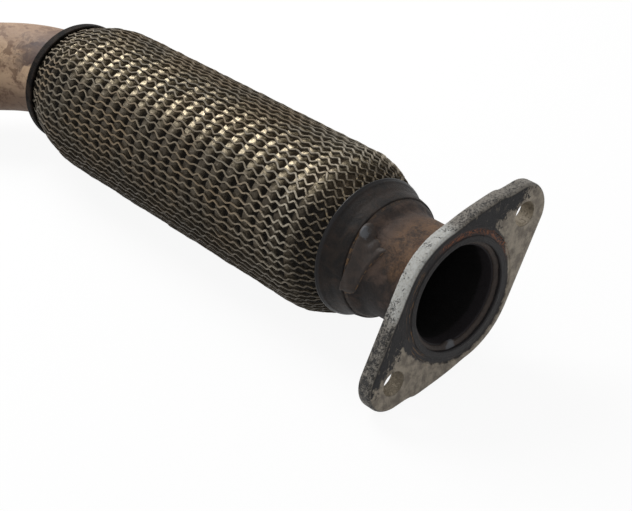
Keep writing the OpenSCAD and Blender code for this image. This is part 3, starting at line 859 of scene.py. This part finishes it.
class FLEXPIPE_OT_caps(bpy.types.Operator):
    """Make the flared front cap with its rolled lip, and the rear cup"""

    bl_idname = "flexpipe.caps"
    bl_label = "Caps"

    def execute(self, context):
        a, w = SOCKET_R + 0.1, 1.6
        rise, run = LIP_R - a, CAP_REAR - CAP_FRONT
        front = [(a, CAP_FRONT), (a + 0.7 * w, CAP_FRONT), (a + w + 0.02 * rise, CAP_FRONT + 0.22 * run),
                 (a + w + 0.1 * rise, CAP_FRONT + 0.45 * run), (a + w + 0.3 * rise, CAP_FRONT + 0.66 * run),
                 (LIP_R - 1.3, CAP_REAR - 2.6), (LIP_R - 0.3, CAP_REAR - 1.5),
                 (LIP_R + 0.2, CAP_REAR - 0.7), (LIP_R - 0.2, CAP_REAR),
                 (LIP_R - 1.2, CAP_REAR), (a + 0.5 * rise, CAP_FRONT + 0.8 * run),
                 (a + 0.2 * rise, CAP_FRONT + 0.62 * run), (a, CAP_FRONT + 0.45 * run)]

        def dents(r, s, angles):
            return waver(71, angles, s, 0.06, 10, 6, 20.0)

        flare = turned(rounded(finely(front, 1.0)), 240, dents)
        settle("front_cap_skin", *flare, "cap_steel", "flange_end", ["front_cap"])
        foot, s0, s1 = TUBE_R + 1.2, SKIRT_FRONT, SKIRT_REAR - 2.0
        rear = [(SKIRT_R - w, s0 + 0.3), (SKIRT_R - 0.5 * w, s0), (SKIRT_R - 0.2, s0 + 0.1),
                (SKIRT_R, s0 + 0.7), (SKIRT_R, s1 - 1.6), (SKIRT_R - 0.5, s1 - 0.5), (SKIRT_R - 1.6, s1),
                (foot, SKIRT_REAR), (foot, SKIRT_REAR - w), (SKIRT_R - 3.0, s1 - w),
                (SKIRT_R - 3.0, s0 + 4.0), (SKIRT_R - 4.0, s0 + 4.0), (SKIRT_R - 4.0, s0 + 2.3),
                (SKIRT_R - w, s0 + 2.3)]
        rear = rounded(finely(rear, 0.9))
        cup = turned(rear[needed(rear)], 240)
        settle("rear_cap_cup", *cup, "rear_cap_steel", "pipe_end", ["rear_cap"])
        return {"FINISHED"}


def narrowing(s):
    """How far the sleeve has narrowed at a station: 0 along its middle, 1 at its two ends."""
    d, back = s - SLEEVE_FRONT, SLEEVE_REAR - s
    return np.where(d < TAPER_FRONT, np.clip(1 - d / TAPER_FRONT, 0, 1) ** 1.4,
                    np.where(back < TAPER_REAR, np.clip(1 - back / TAPER_REAR, 0, 1) ** 1.6, 0.0))


def sleeve_radius(s):
    return SLEEVE_R - (SLEEVE_R - SLEEVE_END_R) * narrowing(s)


def wander(draw, along, size, pitch, count=3):
    """A random sway along a strip: sines with sizes and pitches drawn between two bounds."""
    total = 0
    for _ in range(count):
        height = draw.uniform(*size)
        total = total + height * np.sin(along * math.tau / draw.uniform(*pitch) + draw.uniform(0, 7))
    return total


HALVES = (("front", "flange_end", SLEEVE_FRONT, MIDDLE, NECK_REAR + 1.0),
          ("rear", "pipe_end", MIDDLE, SLEEVE_REAR, PIPE_FRONT - 1.0))


class FLEXPIPE_OT_sleeve(bpy.types.Operator):
    """Make the sleeve of zigzag strips that stand on edge, in a front and a rear half"""

    bl_idname = "flexpipe.sleeve"
    bl_label = "Sleeve of strips"

    def execute(self, context):
        sizes = context.scene.flex_pipe_sizes
        half, depth = sizes.strip_thickness / MM / 2, sizes.strip_depth / MM
        period = (SLEEVE_REAR - SLEEVE_FRONT) / sizes.waves
        pitch = math.tau / sizes.strips
        whole = np.linspace(SLEEVE_FRONT, SLEEVE_REAR, 12 * sizes.waves + 1)
        behind, before = whole - SLEEVE_FRONT, SLEEVE_REAR - whole
        r = sleeve_radius(whole)
        fit = 0.5 - half / (r * pitch)
        # The waves crowd together towards the front end, and both ends are less regular
        turns = behind / period - 1.6 * np.clip((34 - behind) / 34, 0, 1) ** 2
        loose = 1 + 0.5 * smooth((26 - behind) / 24) + smooth((22 - before) / 20)
        open_front = 0.4 * narrowing(whole) ** 0.5 + 0.6 * smooth((60 - behind) / 50)
        strips = []
        for j in range(sizes.strips):
            draw = random.Random(1000 + j)
            drift = wander(draw, whole, (0.08, 0.26), (17, 60))
            push = wander(draw, whole, (0.03, 0.09), (7, 30))
            lift = wander(draw, whole, (0.04, 0.12), (9, 40))
            lean = wander(draw, whole, (0.02, 0.07), (6, 25), 2)
            phase = (turns + drift * 2 / period) * math.tau + (j % 2) * math.pi
            wave = np.sin(phase + 0.3 * np.sin(phase))
            swing = 0.8 * wave + 0.2 * np.arcsin(0.98 * wave) * 2 / math.pi
            # Every second strip lies lower, swings less behind the front end and is painted duller, as shade
            # for lying deeper
            beat = 1 + (0.25 if j % 2 else -0.3) * smooth((behind - 20) / 40)
            sunk = 0.0 if j % 2 else 0.25
            above = smooth(math.sin(j * pitch) + 0.3)
            gain = 1 + above * open_front + 0.12 * loose * np.sin(whole / 9 + 2.4 * j)
            angle = (j + swing * sizes.swing * gain * beat * fit + push * loose) * pitch
            strips.append((angle, r + np.clip(lift * loose - 0.12, -0.8, 0.05) - sunk, lean, 1 - sunk))
        for name, body, start, stop, hinge in HALVES:
            pick = (whole >= start - 1e-6) & (whole <= stop + 1e-6)
            points, faces, lifts, first = [], [], [], 0
            for angle, r, lean, shine in strips:
                s, a, top, tilt = (values[pick] for values in (whole, angle, r, lean))
                along = np.stack([np.gradient(s), top * np.gradient(a)], axis=1)
                along /= np.linalg.norm(along, axis=1)[:, None]
                across = np.stack([-along[:, 1], along[:, 0]], axis=1)
                deep = depth * (1 - 0.35 * narrowing(s))
                wide = half * (1 + 0.1 * smooth((SLEEVE_FRONT + 50 - s) / 40))
                corners = []
                for side, level in ((1, 0), (-1, 0), (-1, 1), (1, 1)):
                    turn = a + side * wide * across[:, 1] / top + (tilt * level * deep) / top
                    corners.append(hoop(s + side * wide * across[:, 0], top - level * deep, turn))
                rings = np.stack(corners, axis=1)
                points.append(rings.reshape(-1, 3))
                faces += loft(rings, False, first)
                last = first + 4 * (len(s) - 1)
                faces += [(first, first + 1, first + 2, first + 3), (last, last + 1, last + 2, last + 3)]
                # Lift of the corners: the strip finish paints shade where it is low, on the lower edges and
                # the lower strips
                lifts.append(np.tile([shine, shine, 0.0, 0.0], len(s)))
                first += 4 * len(s)
            settle(f"sleeve_{name}", np.concatenate(points), faces, "strip_steel", body, ["outer_mesh"],
                   hinge, 50.0, {"lift": np.concatenate(lifts)})
        return {"FINISHED"}


class FLEXPIPE_OT_bellows(bpy.types.Operator):
    """Make the bellows under the sleeve, in a front and a rear half, and their low ends under the tapers"""

    bl_idname = "flexpipe.bellows"
    bl_label = "Bellows"

    def execute(self, context):
        sizes = context.scene.flex_pipe_sizes
        start, stop = SLEEVE_FRONT + TAPER_FRONT, SLEEVE_REAR - TAPER_REAR
        pitch = (stop - start) / CONVOLUTIONS
        crest = CREST_R + sizes.crest_lift / MM
        lap, end_r = 2.0, 29.2

        def swell(s):
            crown = np.tanh(2.4 * np.cos(math.tau * ((s - start) / pitch - 0.5)) + 0.4)
            return np.clip(0.5 + 0.5 * crown / math.tanh(2.0), 0, 1)

        def skin(name, s, r, high, wall, body, hinge):
            points, faces, lift = walled(s, r, r - wall, high)
            settle(name, points, faces, "bellows_steel", body, ["bellows"], hinge, 60.0, {"lift": lift})

        for name, body, front, rear, hinge in HALVES:
            s = np.arange(max(front, BELLOWS_FRONT), min(rear, BELLOWS_REAR) + 0.01, pitch / 24)
            s[-1] = min(rear, BELLOWS_REAR)
            inside = (s > start) & (s < stop)
            high = np.where(inside, swell(s), 0.0)
            root = np.where(inside, crest - GROOVE_DEPTH, CUFF_R)
            skin(f"bellows_{name}", s, root + (crest - root) * high, high, 0.8, body, hinge)
            span = (SLEEVE_FRONT, start + lap, 60) if name == "front" else (stop - lap, SLEEVE_REAR, 90)
            s = np.linspace(*span)
            ridge = (0.5 - 0.5 * np.cos(math.tau * (s - start) / pitch)) ** 1.3
            top = sleeve_radius(s) - sizes.strip_depth / MM - 0.2
            r = np.maximum(top - GROOVE_DEPTH * (1 - ridge), end_r)
            # The lift that the bellows finish reads: low in the grooves and near the lip, where it paints
            # shade
            shine = ridge * 0.8 * smooth((s - SLEEVE_FRONT - 3) / 9)
            skin(f"bellows_end_{name}", s, r, shine, 0.3, body, hinge)
        return {"FINISHED"}


class FLEXPIPE_OT_liner(bpy.types.Operator):
    """Make the wound liner of the gas path, in a front and a rear half"""

    bl_idname = "flexpipe.liner"
    bl_label = "Liner"

    def execute(self, context):
        turns, wall = 26, 1.6
        pitch = (LINER_REAR - LINER_FRONT) / turns
        for name, body, _, _, hinge in HALVES:
            low, high = (LINER_FRONT, MIDDLE) if name == "front" else (MIDDLE, LINER_REAR)
            s = np.arange(low, high, pitch / 12)
            s = np.append(s, high)
            t = ((s - LINER_FRONT) / pitch) % 1.0
            hook = 0.5 * smooth((t - 0.68) / 0.08) * smooth((0.98 - t) / 0.06)
            lap = 0.5 * smooth((t - 0.2) / 0.06) * smooth((0.5 - t) / 0.06)
            points, faces, _ = walled(s, LINER_R - hook, LINER_R - wall + lap, np.zeros(len(s)))
            settle(f"liner_{name}", points, faces, "liner_steel", body, ["liner"], hinge, 60.0)
        return {"FINISHED"}


class FLEXPIPE_OT_rings(bpy.types.Operator):
    """Dress the two clamp rings that stay as they are in the solids"""

    bl_idname = "flexpipe.rings"
    bl_label = "Clamp rings"

    def execute(self, context):
        for node in ("front_ring", "rear_ring"):
            mesh = frame["nodes"][node].data
            mesh.materials.clear()
            mesh.materials.append(finish("clamp_steel"))
        return {"FINISHED"}


class FLEXPIPE_OT_pipe(bpy.types.Operator):
    """Make the bent pipe behind the flexible section"""

    bl_idname = "flexpipe.pipe"
    bl_label = "Rear pipe"

    def execute(self, context):
        straight = BEND_START - PIPE_FRONT
        arc = BEND_R * BEND
        total = straight + arc + TAIL
        wall = TUBE_R - BORE_R
        angles = full_turn(144)
        upward = np.array([0.0, 0.0, 1.0])

        def ring(t, r, rise=0.0):
            turn = min(max(t - straight, 0.0), arc) / BEND_R
            before, behind = min(t, straight), max(t - straight - arc, 0.0)
            ahead = np.array([-math.cos(turn), -math.sin(turn), 0.0])
            outward = np.array([-math.sin(turn), math.cos(turn), 0.0])
            back = PIPE_FRONT + before + BEND_R * math.sin(turn)
            centre = np.array([-back, -BEND_R * (1 - math.cos(turn)), 0.0]) + behind * ahead
            r = (r + rise)[:, None] if np.ndim(rise) else np.full((len(angles), 1), r)
            return centre + r * (np.cos(angles)[:, None] * outward + np.sin(angles)[:, None] * upward)

        grow = SKIRT_FRONT - PIPE_FRONT
        cone = grow + 4.5
        stations = np.concatenate([np.linspace(0, grow - 0.5, 8), np.linspace(grow, cone, 7),
                                   np.linspace(cone + 1.0, total - 1.0, 60),
                                   [total - 0.4, total - 0.1, total]])
        outer = np.interp(stations, [0, grow, cone, total - 0.5, total],
                          [SOCKET_R, SOCKET_R, TUBE_R, TUBE_R, TUBE_R - 0.4])
        inner = np.interp(stations, [0, grow - 0.4, cone - 0.4, total],
                          [SOCKET_R - wall, SOCKET_R - wall, BORE_R, BORE_R])
        calm = smooth((stations - grow - 8) / 10) * smooth((total - 2 - stations) / 10)
        rings = [ring(t, r, share * waver(91, angles, t, 0.09, 10, 5, 45.0))
                 for t, r, share in zip(stations, outer, calm)]
        rings += [ring(t, r) for t, r in zip(stations[::-1], inner[::-1])]
        inside = np.repeat([0.0, 1.0], len(stations) * len(angles))
        settle("rear_pipe_bent", np.concatenate(rings), loft(rings), "pipe_steel", "pipe_end", ["rear_pipe"],
               extra={"inside": inside})
        return {"FINISHED"}


class FLEXPIPE_OT_stage(bpy.types.Operator):
    """Make the pale floor, the lamps, the world and the camera"""

    bl_idname = "flexpipe.stage"
    bl_label = "Stage"

    def execute(self, context):
        scene = context.scene
        scene.view_settings.view_transform = "Standard"
        mesh = bpy.data.meshes.new("floor")
        reach = 3.0
        corners = ((-reach, -reach), (reach, -reach), (reach, reach), (-reach, reach))
        mesh.from_pydata([(x, y, FLOOR) for x, y in corners], [], [(0, 1, 2, 3)])
        floor = bpy.data.objects.new("floor", mesh)
        scene.collection.objects.link(floor)
        mesh.materials.append(self.floor_paint())
        self.sky(scene)
        self.lamp(scene, "key", (-0.82, 0.02, 0.72), 0.62, 9.5)
        self.lamp(scene, "fill", (0.75, -0.75, 0.55), 0.6, 1.4)
        self.camera(scene)
        return {"FINISHED"}

    @staticmethod
    def floor_paint():
        """Pale and matt; what sees it directly sees it nearly white, with the part's shadow."""
        material = bpy.data.materials.new("pale_floor")
        n = Nodes(material)
        matt = n.node("BsdfDiffuse", None, {"Color": (0.9, 0.9, 0.9)})
        glow = n.node("Emission", None, {"Color": (1, 1, 1)})
        mixed = n.node("MixShader", None, {0: n.seen() * 0.92, 1: matt, 2: glow})
        n.node("OutputMaterial", None, {0: mixed})
        return material

    @staticmethod
    def sky(scene):
        """A soft even light, seen directly as white."""
        scene.world = bpy.data.worlds.new("studio")
        n = Nodes(scene.world)
        soft, white = (n.node("Background", None, {"Color": (1, 1, 1), "Strength": level})
                       for level in (0.45, 1.0))
        mixed = n.node("MixShader", None, {0: n.seen(), 1: soft, 2: white})
        n.node("OutputWorld", None, {0: mixed})

    @staticmethod
    def lamp(scene, name, place, size, power):
        light = bpy.data.lights.new(name, "AREA")
        light.shape, light.size, light.energy = "DISK", size, power
        lamp = bpy.data.objects.new(name, light)
        scene.collection.objects.link(lamp)
        lamp.location = place
        aim = Vector((-0.14, 0, 0))
        lamp.rotation_euler = (aim - Vector(place)).to_track_quat("-Z", "Y").to_euler()

    @staticmethod
    def camera(scene):
        """The view of the photograph: its place, its two image axes and its focal length in pixels."""
        image_width, focal_length, sensor = 632, 1471.1, 36.0
        place = Vector((0.337089, -0.366008, 0.325044))
        right, up = Vector((0.65771, 0.75317, -0.01206)), Vector((-0.38795, 0.35241, 0.85165))
        data = bpy.data.cameras.new("camera")
        data.sensor_width, data.lens = sensor, focal_length * sensor / image_width
        data.clip_start, data.clip_end = 0.01, 20.0
        camera = bpy.data.objects.new("camera", data)
        scene.collection.objects.link(camera)
        turn = Matrix((right, up, right.cross(up))).transposed()
        camera.matrix_world = Matrix.Translation(place) @ turn.to_4x4()
        scene.camera = camera


class FLEXPIPE_PT_panel(bpy.types.Panel):
    """Lists the pieces of the flex pipe"""

    bl_idname = "FLEXPIPE_PT_panel"
    bl_label = "Flex pipe"
    bl_space_type = "VIEW_3D"
    bl_region_type = "UI"
    bl_category = "Flex pipe"

    def draw(self, context):
        for group in (context.scene.flex_pipe_sizes, context.scene.flex_pipe_colours):
            for key in group.bl_rna.properties.keys():
                if key not in ("rna_type", "name"):
                    self.layout.prop(group, key)
        for step in STEPS:
            self.layout.operator(step.bl_idname)


STEPS = (FLEXPIPE_OT_stage, FLEXPIPE_OT_flange, FLEXPIPE_OT_neck, FLEXPIPE_OT_welds, FLEXPIPE_OT_caps,
         FLEXPIPE_OT_sleeve, FLEXPIPE_OT_bellows, FLEXPIPE_OT_liner, FLEXPIPE_OT_rings, FLEXPIPE_OT_pipe)
CLASSES = (FlexPipeSizes, FlexPipeColours, *STEPS, FLEXPIPE_PT_panel)


def register():
    for cls in CLASSES:
        bpy.utils.register_class(cls)
    bpy.types.Scene.flex_pipe_sizes = PointerProperty(type=FlexPipeSizes)
    bpy.types.Scene.flex_pipe_colours = PointerProperty(type=FlexPipeColours)


def unregister():
    del bpy.types.Scene.flex_pipe_colours
    del bpy.types.Scene.flex_pipe_sizes
    for cls in reversed(CLASSES):
        bpy.utils.unregister_class(cls)


def main():
    register()
    for step in STEPS:
        group, name = step.bl_idname.split(".")
        getattr(getattr(bpy.ops, group), name)()


if __name__ == "__main__":
    main()
